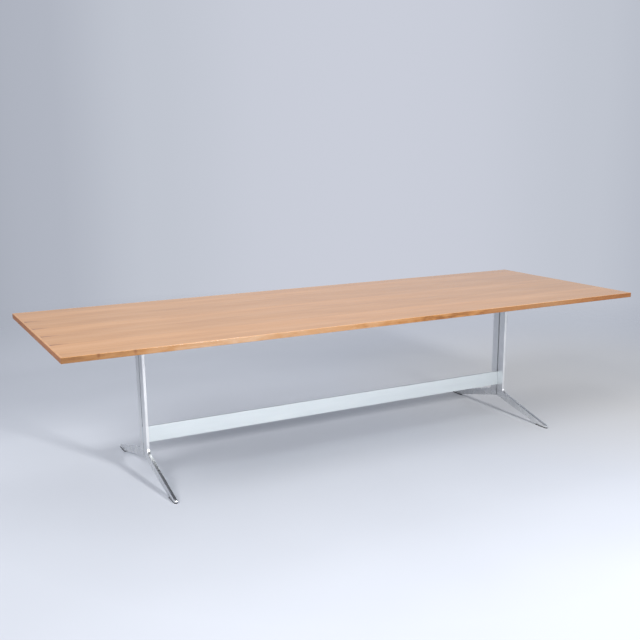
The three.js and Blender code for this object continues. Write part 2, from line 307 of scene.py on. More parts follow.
def copy_of(piece, name, move=(0, 0, 0), turn_about=None):
    """A copy with its own mesh, moved and, if asked, turned half round about an upright axis."""
    deselect()
    piece.select_set(True)
    bpy.context.view_layer.objects.active = piece
    bpy.ops.object.duplicate(linked=False)
    made = bpy.context.object
    made.name = made.data.name = name
    bpy.ops.object.mode_set(mode="EDIT")
    bpy.ops.mesh.select_all(action="SELECT")
    if turn_about is not None:
        bpy.ops.transform.rotate(value=math.pi, orient_axis="Z", center_override=turn_about)
    bpy.ops.transform.translate(value=move)
    bpy.ops.object.mode_set(mode="OBJECT")
    return made


def fit(piece, material, slot, *nodes):
    """Gives a finished piece its material and its place in the frame."""
    piece.data.materials.clear()
    piece.data.materials.append(material)
    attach(piece, "root")
    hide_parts(*nodes)


# Materials

# Sockets of a colour mix, and the span that most values of a noise fall in
AMOUNT, UNDER, OVER, MIXED = 0, 6, 7, 2
RGB = {"data_type": "RGBA"}
NOISE_SPAN = (0.3, 0.7)


def linear(hex_code):
    """An sRGB hex colour as linear RGBA."""
    channels = [int(hex_code[i : i + 2], 16) / 255 for i in (1, 3, 5)]
    values = [c / 12.92 if c <= 0.04045 else ((c + 0.055) / 1.055) ** 2.4 for c in channels]
    return (*values, 1.0)


def wire(tree, node, inputs):
    """Gives a node's inputs their values, or links them to a socket or to another node's first output."""
    for name, value in inputs.items():
        if isinstance(value, bpy.types.Node):
            value = value.outputs[0]
        if isinstance(value, bpy.types.NodeSocket):
            tree.links.new(value, node.inputs[name])
        else:
            node.inputs[name].default_value = value


def add(tree, kind, inputs, stops=(), **settings):
    """Adds a node with its settings, its inputs and the stops of its colour ramp."""
    node = tree.nodes.new("ShaderNode" + kind)
    for name, value in settings.items():
        setattr(node, name, value)
    for number, (place, hex_code) in enumerate(stops):
        elements = node.color_ramp.elements
        stop = elements[number] if number < len(elements) else elements.new(place)
        stop.position = place
        stop.color = linear(hex_code)
    wire(tree, node, inputs)
    return node


def new_material(name):
    """An empty material with its shader, and the object's own coordinates in metres."""
    material = bpy.data.materials.new(name)
    material.use_nodes = True
    tree = material.node_tree
    place = add(tree, "TexCoord", {}).outputs["Object"]
    return material, tree, tree.nodes["Principled BSDF"], place


def per_mm(x, y, z):
    """The scale of a pattern whose grains are x, y and z millimetres long."""
    return (1 / (x * MM), 1 / (y * MM), 1 / (z * MM))


def spread(low, high, to_low, to_high):
    """The inputs that carry a value from one span to another."""
    return {"From Min": low, "From Max": high, "To Min": to_low, "To Max": to_high}


def veneer_leaves(tree, place):
    """Leaves of veneer laid side by side: where a point lies on its own leaf, the tone of that leaf, partly
    its own and partly painted sheen, and the seams, hair-thin along the board and sunk a little darker just
    before its left end."""
    axes = add(tree, "SeparateXYZ", {"Vector": place}).outputs
    across = add(tree, "Math", {0: axes["Y"], 1: FIRST_SEAM}, operation="SUBTRACT")
    count = add(tree, "Math", {0: across, 1: LEAF_WIDTH}, operation="DIVIDE")
    number = add(tree, "Math", {0: count}, operation="FLOOR")
    part = add(tree, "Math", {0: count}, operation="FRACT")
    inward = add(tree, "Math", {0: part, 1: LEAF_WIDTH}, operation="MULTIPLY")
    slice_depth = add(tree, "Math", {0: number, 1: SLICE_SHIFT}, operation="MULTIPLY")
    lay = add(tree, "CombineXYZ", {"X": axes["X"], "Y": inward, "Z": slice_depth})
    pairs = add(tree, "Math", {0: count, 1: 2.0}, operation="DIVIDE")
    pair_part = add(tree, "Math", {0: pairs}, operation="FRACT")
    shade = add(tree, "ValToRGB", {"Fac": pair_part}, stops=LEAF_TONES_AND_SHEEN)
    from_seam = add(tree, "Math", {0: inward, 1: LEAF_WIDTH / 2}, operation="PINGPONG")
    hairline = add(tree, "MapRange", {"Value": from_seam, **spread(*HAIRLINE_WIDTH, HAIRLINE_SHADE, 0.0)})
    sunk = add(tree, "MapRange", {"Value": from_seam, **spread(*SEAM_MARK_WIDTH, SEAM_MARK_SHADE, 0.0)})
    at_end = add(tree, "MapRange", {"Value": axes["X"], **spread(*SEAM_MARK_LENGTH, 1.0, 0.0)})
    inner = add(tree, "Math", {0: axes["Y"], 1: 0.0, 2: SEAM_MARK_SPREAD}, operation="COMPARE")
    mark = add(tree, "Math", {0: sunk, 1: at_end}, operation="MULTIPLY")
    mark = add(tree, "Math", {0: mark, 1: inner}, operation="MULTIPLY")
    seam = add(tree, "Math", {0: hairline, 1: mark}, operation="MAXIMUM")
    return lay, shade, seam


def cherry(
    name,
    tones,
    leaves=False,
    along="X",
    knots=(),
    curl_share=0.0,
    pale_zone=(),
    upper_tones=(),
    roughness=SATIN,
):
    """Cherry under satin lacquer. Straight soft streaks run along it, with fine short pores and a few dark
    gum flecks; the lacquer fills most of the pores, so the light slides over it in a broad sheen. A
    lipping's upper faces take the top's paler tones; its side faces are darker, partly its own wood and
    partly painted shade. A lipping may pale towards one place along its length, a painted highlight on the
    left and middle lengths of the front."""
    material, tree, shader, place = new_material(name)
    if along == "Y":
        place = add(tree, "Mapping", {"Vector": place, "Rotation": (0, 0, math.pi / 2)}).outputs[0]
    lay = place
    if leaves:
        lay, shade, seam = veneer_leaves(tree, place)

    bends = add(tree, "Mapping", {"Vector": lay, "Scale": per_mm(*BEND_SIZE)})
    bend = add(tree, "TexNoise", {"Vector": bends, "Scale": 1.0, "Detail": 1.0})
    drift = add(tree, "Math", {0: bend, 1: BEND_SWAY}, operation="MULTIPLY")
    sway = add(tree, "CombineXYZ", {"Y": drift})
    lay = add(tree, "VectorMath", {0: lay, 1: sway}, operation="ADD")
    broad_place = add(tree, "Mapping", {"Vector": lay, "Scale": per_mm(*BROAD_SIZE)})
    broad = add(tree, "TexNoise", {"Vector": broad_place, "Scale": 1.0, "Detail": 2.0})
    streak_place = add(tree, "Mapping", {"Vector": lay, "Scale": per_mm(*STREAK_SIZE)})
    streak = add(tree, "TexNoise", {"Vector": streak_place, "Scale": 1.0, "Detail": 3.0})
    fine_place = add(tree, "Mapping", {"Vector": lay, "Scale": per_mm(*FINE_SIZE)})
    fine = add(tree, "TexNoise", {"Vector": fine_place, "Scale": 1.0, "Detail": 2.0})
    grain = add(tree, "Mix", {"Factor": STREAK_SHARE, "A": broad, "B": streak})
    grain = add(tree, "Mix", {"Factor": FINE_SHARE, "A": grain, "B": fine})
    curl_place = add(tree, "Mapping", {"Vector": place, "Scale": per_mm(*CURL_SIZE)})
    curl = add(tree, "TexNoise", {"Vector": curl_place, "Scale": 1.0, "Detail": 2.0})
    grain = add(tree, "Mix", {"Factor": curl_share, "A": grain, "B": curl})
    # On the left and middle lengths of the front this paling is a painted highlight
    if pale_zone:
        start, palest, end = pale_zone
        run = add(tree, "SeparateXYZ", {"Vector": place}).outputs["X"]
        rise = add(tree, "MapRange", {"Value": run, **spread(start, palest, 0.0, PALING)})
        decline = add(tree, "MapRange", {"Value": run, **spread(palest, end, PALING, 0.0)})
        paling = add(tree, "Math", {0: rise, 1: decline}, operation="MINIMUM")
        grain = add(tree, "Math", {0: grain, 1: paling}, operation="ADD")
    colour = add(tree, "ValToRGB", {"Fac": grain}, stops=tones).outputs["Color"]
    # Painted shade in part: side faces keep the darker lipping tones, upper faces take the top's paler ones
    if upper_tones:
        upper = add(tree, "ValToRGB", {"Fac": grain}, stops=upper_tones)
        normal = add(tree, "NewGeometry", {}).outputs["Normal"]
        upward = add(tree, "SeparateXYZ", {"Vector": normal}).outputs["Z"]
        lies_up = add(tree, "MapRange", {"Value": upward, **spread(*UPPER_FACE, 0.0, 1.0)})
        colour = add(tree, "Mix", {AMOUNT: lies_up, UNDER: colour, OVER: upper}, **RGB).outputs[MIXED]

    pore_place = add(tree, "Mapping", {"Vector": lay, "Scale": per_mm(*PORE_SIZE)})
    pore_noise = add(tree, "TexNoise", {"Vector": pore_place, "Scale": 1.0, "Detail": 1.0})
    pores = add(tree, "MapRange", {"Value": pore_noise, **spread(*PORE_SPAN, 0.0, PORE_SHADE)})
    dark = linear(tones[0][1])
    colour = add(tree, "Mix", {AMOUNT: pores, UNDER: colour, OVER: dark}, **RGB).outputs[MIXED]
    gum_place = add(tree, "Mapping", {"Vector": lay, "Scale": per_mm(*GUM_SIZE)})
    gum = add(tree, "TexVoronoi", {"Vector": gum_place, "Scale": 1.0}, feature="F1").outputs
    near = add(tree, "MapRange", {"Value": gum["Distance"], **spread(*GUM_REACH, GUM_SHADE, 0.0)})
    draw = add(tree, "SeparateColor", {"Color": gum["Color"]})
    seldom = add(tree, "MapRange", {"Value": draw, **spread(*GUM_CHANCE, 0.0, 1.0)})
    fleck = add(tree, "Math", {0: near, 1: seldom}, operation="MULTIPLY")
    gum_brown = linear(GUM_COLOUR)
    colour = add(tree, "Mix", {AMOUNT: fleck, UNDER: colour, OVER: gum_brown}, **RGB).outputs[MIXED]
    # Leaf tones, partly painted sheen
    if leaves:
        shaded = {AMOUNT: 1.0, UNDER: colour, OVER: shade}
        colour = add(tree, "Mix", shaded, blend_type="MULTIPLY", **RGB).outputs[MIXED]
        colour = add(tree, "Mix", {AMOUNT: seam, UNDER: colour, OVER: gum_brown}, **RGB).outputs[MIXED]
    for centre, size in knots:
        offset = add(tree, "VectorMath", {0: place, 1: centre}, operation="SUBTRACT")
        squeezed = add(tree, "VectorMath", {0: offset, 1: KNOT_SQUEEZE}, operation="MULTIPLY")
        reach = add(tree, "VectorMath", {0: squeezed}, operation="LENGTH").outputs["Value"]
        eye = add(tree, "MapRange", {"Value": reach, **spread(KNOT_CORE * size, size, KNOT_SHADE, 0.0)})
        knot = {AMOUNT: eye, UNDER: colour, OVER: linear(KNOT_COLOUR)}
        colour = add(tree, "Mix", knot, **RGB).outputs[MIXED]

    gloss = add(tree, "MapRange", {"Value": streak, **spread(*NOISE_SPAN, *roughness)})
    if upper_tones:
        satin = add(tree, "MapRange", {"Value": streak, **spread(*NOISE_SPAN, *SATIN)})
        gloss = add(tree, "Mix", {"Factor": lies_up, "A": gloss, "B": satin})
    relief = add(tree, "Math", {0: fine, 1: pores}, operation="SUBTRACT")
    skin = add(tree, "Bump", {"Height": relief, "Distance": 0.06 * MM, "Strength": 0.5})
    wire(tree, shader, {"Base Color": colour, "Roughness": gloss, "Normal": skin, "IOR": LACQUER_IOR})
    return material


BACKING_MOTTLE = 18 * MM
BACKING_TONES = ((0.3, "#707174"), (0.7, "#7D7E80"))
BACKING_ROUGHNESS = (0.6, 0.72)


def backing_sheet():
    """Grey balancing sheet glued under the top: smooth, matt and faintly mottled."""
    material, tree, shader, place = new_material("matt_grey_backing_sheet")
    mottle = add(tree, "TexNoise", {"Vector": place, "Scale": 1 / BACKING_MOTTLE, "Detail": 3.0})
    colour = add(tree, "ValToRGB", {"Fac": mottle}, stops=BACKING_TONES)
    dullness = add(tree, "MapRange", {"Value": mottle, **spread(*NOISE_SPAN, *BACKING_ROUGHNESS)})
    skin = add(tree, "Bump", {"Height": mottle, "Distance": 0.03 * MM, "Strength": 0.3})
    wire(tree, shader, {"Base Color": colour, "Roughness": dullness, "Normal": skin})
    return material


# Polishing lines are drawn coarser than real ones, which are too fine to show
POLISH_ON_UPRIGHT = (0.9, 0.9, 60)
POLISH_ON_FOOT = (0.9, 60, 0.9)
KNEE_BAND = (105 * MM, 125 * MM)
HAZE_SIZE = (45, 45, 90)
HAZE_SPAN = (0.35, 0.7)
CASTING_TONES = ((0.3, "#E4E5E6"), (0.7, "#EEEEEE"))
UPRIGHT_ROUGHNESS = (0.33, 0.39)
FOOT_ROUGHNESS = (0.24, 0.3)
# Painted shade: the darker colour of the faces in the gap between two halves
GAP_SHADE_COLOUR = "#C8CACC"
GAP_FACE_ROUGHNESS = 0.7


def cast_aluminium():
    """Cast aluminium, ground and buffed by hand to a bright satin that blurs what it mirrors, with fine
    polishing lines along each limb and faint broad patches, and brighter on the feet, where shoes rub. The
    faces in the gap between two halves are dull and painted darker, a painted shade of the gap."""
    material, tree, shader, place = new_material("buffed_cast_aluminium")
    upright_place = add(tree, "Mapping", {"Vector": place, "Scale": per_mm(*POLISH_ON_UPRIGHT)})
    upright = add(tree, "TexNoise", {"Vector": upright_place, "Scale": 1.0, "Detail": 2.0})
    foot_place = add(tree, "Mapping", {"Vector": place, "Scale": per_mm(*POLISH_ON_FOOT)})
    foot = add(tree, "TexNoise", {"Vector": foot_place, "Scale": 1.0, "Detail": 2.0})
    axes = add(tree, "SeparateXYZ", {"Vector": place}).outputs
    above_knee = add(tree, "MapRange", {"Value": axes["Z"], **spread(*KNEE_BAND, 0.0, 1.0)})
    lines = add(tree, "Mix", {"Factor": above_knee, "A": foot, "B": upright})
    haze_place = add(tree, "Mapping", {"Vector": place, "Scale": per_mm(*HAZE_SIZE)})
    haze = add(tree, "TexNoise", {"Vector": haze_place, "Scale": 1.0, "Detail": 3.0})
    colour = add(tree, "ValToRGB", {"Fac": haze}, stops=CASTING_TONES)
    dullness = add(tree, "MapRange", {"Value": haze, **spread(*HAZE_SPAN, *UPRIGHT_ROUGHNESS)})
    rubbed = add(tree, "MapRange", {"Value": haze, **spread(*HAZE_SPAN, *FOOT_ROUGHNESS)})
    dullness = add(tree, "Mix", {"Factor": above_knee, "A": rubbed, "B": dullness})
    # Painted shade: faces in the gap between the halves are darkened and dulled
    aside = add(tree, "Math", {0: axes["Y"]}, operation="ABSOLUTE")
    gap_shade = add(tree, "MapRange", {"Value": aside, **spread(GAP_REACH, GAP_REACH + EDGE_BREAK, 1.0, 0.0)})
    gap_shade_mix = {AMOUNT: gap_shade, UNDER: colour, OVER: linear(GAP_SHADE_COLOUR)}
    colour = add(tree, "Mix", gap_shade_mix, **RGB).outputs[MIXED]
    dullness = add(tree, "Mix", {"Factor": gap_shade, "A": dullness, "B": GAP_FACE_ROUGHNESS})
    skin = add(tree, "Bump", {"Height": lines, "Distance": 0.005 * MM, "Strength": 0.2})
    wire(tree, shader, {"Base Color": colour, "Roughness": dullness, "Normal": skin, "Metallic": 1.0})
    return material


# Brushing lines are drawn coarser than real ones, which are too fine to show
BRUSH_SIZE = (220, 0.8, 0.8)
BAR_CLOUD_SIZE = (260, 40, 40)
BAR_CLOUD_SHARE = 0.5
BAR_TONES = ((0.3, "#D2D9DC"), (0.7, "#DDE3E5"))
BAR_ROUGHNESS = (0.5, 0.6)


def brushed_aluminium():
    """Flat aluminium bar, brushed along its length and anodised: a pale cool satin with long fine lines
    that spreads the light across the bar."""
    material, tree, shader, place = new_material("brushed_anodised_aluminium")
    line_place = add(tree, "Mapping", {"Vector": place, "Scale": per_mm(*BRUSH_SIZE)})
    lines = add(tree, "TexNoise", {"Vector": line_place, "Scale": 1.0, "Detail": 3.0})
    cloud_place = add(tree, "Mapping", {"Vector": place, "Scale": per_mm(*BAR_CLOUD_SIZE)})
    cloud = add(tree, "TexNoise", {"Vector": cloud_place, "Scale": 1.0, "Detail": 2.0})
    tone = add(tree, "Mix", {"Factor": BAR_CLOUD_SHARE, "A": lines, "B": cloud})
    colour = add(tree, "ValToRGB", {"Fac": tone}, stops=BAR_TONES)
    dullness = add(tree, "MapRange", {"Value": lines, **spread(*NOISE_SPAN, *BAR_ROUGHNESS)})
    skin = add(tree, "Bump", {"Height": lines, "Distance": 0.02 * MM, "Strength": 0.4})
    wire(tree, shader, {"Base Color": colour, "Roughness": dullness, "Normal": skin, "Metallic": 1.0})
    return material


COAT_PEEL = 1.6 * MM
COAT_DUST = 70 * MM
COAT_TONES = ((0.35, "#222325"), (0.75, "#2E2F31"))
COAT_ROUGHNESS = (0.45, 0.62)


def powder_coat():
    """Black polyester powder coat on steel: a fine orange-peel skin with a dull sheen."""
    material, tree, shader, place = new_material("black_powder_coat")
    peel = add(tree, "TexNoise", {"Vector": place, "Scale": 1 / COAT_PEEL, "Detail": 2.0})
    dust = add(tree, "TexNoise", {"Vector": place, "Scale": 1 / COAT_DUST, "Detail": 3.0})
    colour = add(tree, "ValToRGB", {"Fac": dust}, stops=COAT_TONES)
    dullness = add(tree, "MapRange", {"Value": peel, **spread(*NOISE_SPAN, *COAT_ROUGHNESS)})
    skin = add(tree, "Bump", {"Height": peel, "Distance": 0.05 * MM, "Strength": 0.6})
    wire(tree, shader, {"Base Color": colour, "Roughness": dullness, "Normal": skin})
    return material


RUBBER_GRAIN = 0.8 * MM
RUBBER_TONES = ((0.3, "#141415"), (0.7, "#1F1F20"))
RUBBER_ROUGHNESS = (0.68, 0.85)
SCUFF_HEIGHT = 1.4 * MM
SCUFF_SHARE = 0.35
SCUFF_COLOUR = "#3A3A3B"


def glide_rubber():
    """Moulded black rubber: matt, finely grained, greyed a little where it rubs the floor."""
    material, tree, shader, place = new_material("moulded_black_rubber")
    speck = add(tree, "TexNoise", {"Vector": place, "Scale": 1 / RUBBER_GRAIN, "Detail": 2.0})
    height = add(tree, "SeparateXYZ", {"Vector": place}).outputs["Z"]
    scuff = add(tree, "MapRange", {"Value": height, **spread(0.0, SCUFF_HEIGHT, SCUFF_SHARE, 0.0)})
    black = add(tree, "ValToRGB", {"Fac": speck}, stops=RUBBER_TONES)
    scuffed = {AMOUNT: scuff, UNDER: black, OVER: linear(SCUFF_COLOUR)}
    colour = add(tree, "Mix", scuffed, **RGB).outputs[MIXED]
    dullness = add(tree, "MapRange", {"Value": speck, **spread(*NOISE_SPAN, *RUBBER_ROUGHNESS)})
    skin = add(tree, "Bump", {"Height": speck, "Distance": 0.08 * MM, "Strength": 0.5})
    wire(tree, shader, {"Base Color": colour, "Roughness": dullness, "Normal": skin})
    return material


ZINC_CLOUD = 3 * MM
ZINC_TONES = ((0.3, "#A4A6A8"), (0.7, "#BFC1C4"))
ZINC_ROUGHNESS = (0.28, 0.44)


def zinc_plate():
    """Zinc-plated steel: a cool grey metal with faint cloudy patches."""
    material, tree, shader, place = new_material("zinc_plated_steel")
    cloud = add(tree, "TexNoise", {"Vector": place, "Scale": 1 / ZINC_CLOUD, "Detail": 3.0})
    colour = add(tree, "ValToRGB", {"Fac": cloud}, stops=ZINC_TONES)
    dullness = add(tree, "MapRange", {"Value": cloud, **spread(*NOISE_SPAN, *ZINC_ROUGHNESS)})
    skin = add(tree, "Bump", {"Height": cloud, "Distance": 0.02 * MM, "Strength": 0.4})
    wire(tree, shader, {"Base Color": colour, "Roughness": dullness, "Normal": skin, "Metallic": 1.0})
    return material


BOARD_FLAKE = 4 * MM
BOARD_TONES = ((0.0, "#8F6A42"), (0.5, "#B99A6F"), (1.0, "#D3BA90"))


def particle_board():
    """Raw particle board: pressed flakes of pale and darker wood, dull all over."""
    material, tree, shader, place = new_material("particle_board")
    flakes = add(tree, "TexVoronoi", {"Vector": place, "Scale": 1 / BOARD_FLAKE}, feature="F1").outputs
    tone = add(tree, "SeparateColor", {"Color": flakes["Color"]})
    colour = add(tree, "ValToRGB", {"Fac": tone}, stops=BOARD_TONES)
    skin = add(tree, "Bump", {"Height": flakes["Distance"], "Distance": 0.3 * MM, "Strength": 0.5})
    wire(tree, shader, {"Base Color": colour, "Roughness": 0.9, "Normal": skin})
    return material


# The pieces that are drawn again


def carry_on(upper, lower, next_upper, next_lower):
    """Extrudes the picked end face so that its upper and lower edges come to new places (y, z)."""
    step = Vector((0, *next_lower)) - Vector((0, *lower))
    bpy.ops.mesh.extrude_region_move(TRANSFORM_OT_translate={"value": step})
    came = Vector((0, *upper)) + step
    pick("EDGE", lambda edge: lies_at(edge, y=came.y, z=came.z))
    bpy.ops.transform.translate(value=Vector((0, *next_upper)) - came)


def leg_half(node):
    """One cast half, drawn as a rear one: an upright bent at the knee into a sloping foot."""
    low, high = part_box(node)
    inner, toe = low[1], high[1]
    sole, top = low[2], high[2]
    outer = inner + UPRIGHT_DEPTH
    glide_start = toe - GLIDE_LENGTH
    fall = (KNEE_HEIGHT - TOE_HEIGHT) / (toe - outer)
    knee, arch = (outer, KNEE_HEIGHT), (inner, ARCH_HEIGHT)
    ball, ball_sole = (glide_start, KNEE_HEIGHT - fall * (glide_start - outer)), (glide_start, sole)
    piece = block(f"{node}_cast", (low[0], inner, KNEE_HEIGHT), (high[0], outer, top))
    pick("EDGE", lambda edge: lies_at(edge, y=inner, z=KNEE_HEIGHT))
    bpy.ops.transform.translate(value=(0, 0, ARCH_HEIGHT - KNEE_HEIGHT))
    pick("FACE", lambda face: face.normal.z < DOWNWARD)
    carry_on(knee, arch, ball, ball_sole)
    pick("FACE", lambda face: lies_at(face, y=glide_start))
    carry_on(ball, ball_sole, (toe, TOE_HEIGHT), (toe, sole))
    tangent = math.tan((math.pi / 2 - math.atan(fall)) / 2)
    pick("EDGE", lambda edge: lies_at(edge, y=outer, z=KNEE_HEIGHT))
    round_off(KNEE_RADIUS * tangent, ROUND_STEPS)
    pick("EDGE", lambda edge: lies_at(edge, y=toe, z=TOE_HEIGHT))
    round_off(TOE_RADIUS * tangent, ROUND_STEPS)
    pick("EDGE", lambda edge: joins(edge, lambda n: abs(n.x) > FACING, lambda n: n.y > LEANING))
    round_off(EDGE_ROUND, ROUND_STEPS)
    pick("EDGE", lambda edge: joins(edge, lambda n: abs(n.x) > FACING, lambda n: n.y < -LEANING))
    round_off(EDGE_BREAK, EDGE_BREAK_STEPS)
    spare = Vector((0, TOE_CORNER, TOE_CORNER))
    plan = block("toe_plan", Vector(low) - spare, Vector((high[0], toe, top + TOE_CORNER)))
    pick("EDGE", lambda edge: lies_at(edge, y=toe) and is_upright(edge))
    round_off(TOE_CORNER, ROUND_STEPS)
    deselect()
    cut_away(piece, plan, "INTERSECT")
    return piece


def rod_between(name, radius, start, end, sides=ROD_SIDES):
    """A round bar along Y or Z between two points, open for editing."""
    deselect()
    start, end = Vector(start), Vector(end)
    along_y = abs(end.y - start.y) > abs(end.z - start.z)
    bpy.ops.mesh.primitive_cylinder_add(
        vertices=sides,
        radius=radius,
        depth=(end - start).length,
        location=(start + end) / 2,
        rotation=(math.pi / 2 if along_y else 0, 0, 0),
    )
    return open_piece(name)


def screw_axis(node):
    """The lowest and highest points on the middle line of an upright screw."""
    low, high = (Vector(corner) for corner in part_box(node))
    middle = (low + high) / 2
    return Vector((middle.x, middle.y, low.z)), Vector((middle.x, middle.y, high.z))


def drill_for_screws(piece, prefix):
    """Clearance holes for the screws of the bearer and of the glide."""
    gap = Vector((0, 0, SCREW_GAP))
    for kind, radius in (("leg_screw", LEG_SCREW_RADIUS), ("glide_screw", GLIDE_SCREW_RADIUS)):
        for place in SCREW_PLACES:
            start, end = screw_axis(f"{prefix}_{kind}_{place}")
            cut_away(piece, rod_between("drill", radius + SCREW_GAP, start - gap, end + gap))


def bolt_body(name, node, grow=0.0, head_room=0.0):
    """A cap-head bolt along Y with its head to the rear, or, grown, the hole that it sits in."""
    low, high = (Vector(corner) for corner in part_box(node))
    middle = (low + high) / 2
    seat = high.y - BOLT_HEAD_HEIGHT - grow
    tip = low.y - grow
    start, end = (middle.x, seat, middle.z), (middle.x, high.y + head_room, middle.z)
    piece = rod_between(name, BOLT_HEAD_RADIUS + grow, start, end, BOLT_SIDES)
    pick("FACE", lambda face: lies_at(face, y=seat))
    bpy.ops.mesh.inset(thickness=BOLT_HEAD_RADIUS - BOLT_SHANK_RADIUS)
    bpy.ops.mesh.extrude_region_move(TRANSFORM_OT_translate={"value": (0, tip - seat, 0)})
    return piece


def stretcher_bolt(node):
    """A socket-head bolt, its rim eased and a hexagon sunk in its head."""
    low, high = (Vector(corner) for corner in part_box(node))
    middle = (low + high) / 2
    piece = bolt_body(f"{node}_cap", node)
    pick("EDGE", lambda edge: lies_at(edge, y=high.y))
    round_off(BOLT_CHAMFER, EDGE_BREAK_STEPS)
    deselect()
    start = (middle.x, high.y - BOLT_SOCKET_DEPTH, middle.z)
    end = (middle.x, high.y + BOLT_SOCKET_DEPTH, middle.z)
    cut_away(piece, rod_between("socket", BOLT_SOCKET_RADIUS, start, end, BOLT_SOCKET_SIDES))
    return smooth(piece)


def offset_between(node, other):
    """How far one node lies from another of the same shape."""
    return Vector(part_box(other)[0]) - Vector(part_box(node)[0])


def trestles(casting, steel):
    """Both trestles: one half is drawn, drilled and copied, and the bolts are put in from the rear."""
    rear = leg_half("right_rear_leg")
    drill_for_screws(rear, "right_rear")
    middle = (Vector(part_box("right_rear_leg")[0]) + Vector(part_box("right_rear_leg")[1])) / 2
    front = copy_of(rear, "right_front_leg_cast", turn_about=(middle.x, 0, 0))
    for level in BOLT_LEVELS:
        bolt = f"right_stretcher_bolt_{level}"
        for half in (rear, front):
            cut_away(half, bolt_body("drill", bolt, BOLT_HOLE_GAP, UPRIGHT_DEPTH))
        for side in SIDES:
            node = f"{side}_stretcher_bolt_{level}"
            fit(stretcher_bolt(node), steel, "screw_steel", node)
    across = offset_between("right_rear_leg", "left_rear_leg")
    for half, place in ((rear, "rear"), (front, "front")):
        smooth(half)
        fit(half, casting, "leg_casting", f"right_{place}_leg")
        twin = copy_of(half, f"left_{place}_leg_cast", move=across)
        fit(twin, casting, "leg_casting", f"left_{place}_leg")


def stretcher(finish):
    """The flat bar with eased long edges, drilled for its bolts."""
    low, high = (Vector(corner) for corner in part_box("stretcher"))
    piece = block("stretcher_bar", low, high)
    pick("EDGE", lambda edge: abs(edge.verts[0].co.x - edge.verts[1].co.x) > STRETCHER_ARRIS)
    round_off(STRETCHER_ARRIS, ROUND_STEPS)
    deselect()
    for side in SIDES:
        for level in BOLT_LEVELS:
            cut_away(piece, bolt_body("drill", f"{side}_stretcher_bolt_{level}", BOLT_HOLE_GAP))
    fit(smooth(piece), finish, "stretcher_bar", "stretcher")


def lipping(node, outward, mitred, wood):
    """A solid edge strip: mitred where it meets another side, with its two outer arrises rounded."""
    low, high = (Vector(corner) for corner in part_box(node))
    along, across = ("x", "y") if outward.y else ("y", "x")
    inner = low if getattr(outward, across) > 0 else high
    piece = block(f"{node}_strip", low, high)
    for name, end, inward in (("low", low, 1), ("high", high, -1)):
        if name not in mitred:
            continue
        at = {across: getattr(inner, across), along: getattr(end, along)}
        pick("EDGE", lambda edge: lies_at(edge, **at))
        shift = Vector((0, 0, 0))
        setattr(shift, along, inward * LIPPING_DEPTH)
        bpy.ops.transform.translate(value=shift)
    pick("EDGE", lambda edge: joins(edge, lambda n: n.dot(outward) > FACING, lambda n: abs(n.z) > FACING))
    round_off(LIPPING_ARRIS, LIPPING_STEPS)
    fit(smooth(piece), wood, "lipping", node)


def wood_screws(steel):
    """Slotted round-head screws: one is drawn head down and copied to every hole of the bearers."""
    first = "left_wood_screw_1"
    low, high = (Vector(corner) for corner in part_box(first))
    middle = (low + high) / 2
    head_radius = (high.x - low.x) / 2
    seat = low.z + SCREW_HEAD_HEIGHT
    deselect()
    flatten = SCREW_HEAD_HEIGHT / head_radius
    bpy.ops.mesh.primitive_uv_sphere_add(
        segments=ROD_SIDES,
        ring_count=ROD_SIDES // 2,
        radius=head_radius,
        location=(middle.x, middle.y, seat),
        scale=(1, 1, flatten),
    )
    screw = open_piece(f"{first}_turned")
    bpy.ops.mesh.select_all(action="SELECT")
    bpy.ops.mesh.bisect(plane_co=(0, 0, seat), plane_no=(0, 0, 1), use_fill=True, clear_outer=True)
    pick("FACE", lambda face: lies_at(face, z=seat))
    bpy.ops.mesh.inset(thickness=head_radius - SCREW_SHANK_RADIUS)
    bpy.ops.mesh.extrude_region_move(TRANSFORM_OT_translate={"value": (0, 0, high.z - SCREW_POINT - seat)})
    bpy.ops.mesh.extrude_region_move(TRANSFORM_OT_translate={"value": (0, 0, SCREW_POINT)})
    bpy.ops.mesh.merge(type="CENTER")
    deselect()
    reach = Vector((2 * head_radius, SCREW_SLOT_WIDTH / 2, SCREW_SLOT_DEPTH))
    foot = Vector((middle.x, middle.y, low.z))
    cut_away(screw, block("slot", foot - reach, foot + reach))
    smooth(screw)
    fit(screw, steel, "screw_steel", first)
    for side in SIDES:
        for number in range(1, WOOD_SCREWS_A_BEARER + 1):
            node = f"{side}_wood_screw_{number}"
            if node != first:
                twin = copy_of(screw, f"{node}_turned", move=offset_between(first, node))
                fit(twin, steel, "screw_steel", node)


def finish_nodes(material, *nodes):
    """Gives nodes that stay as they are their material."""
    for node in nodes:
        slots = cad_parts[node].data.materials
        slots.clear()
        slots.append(material)


# Studio


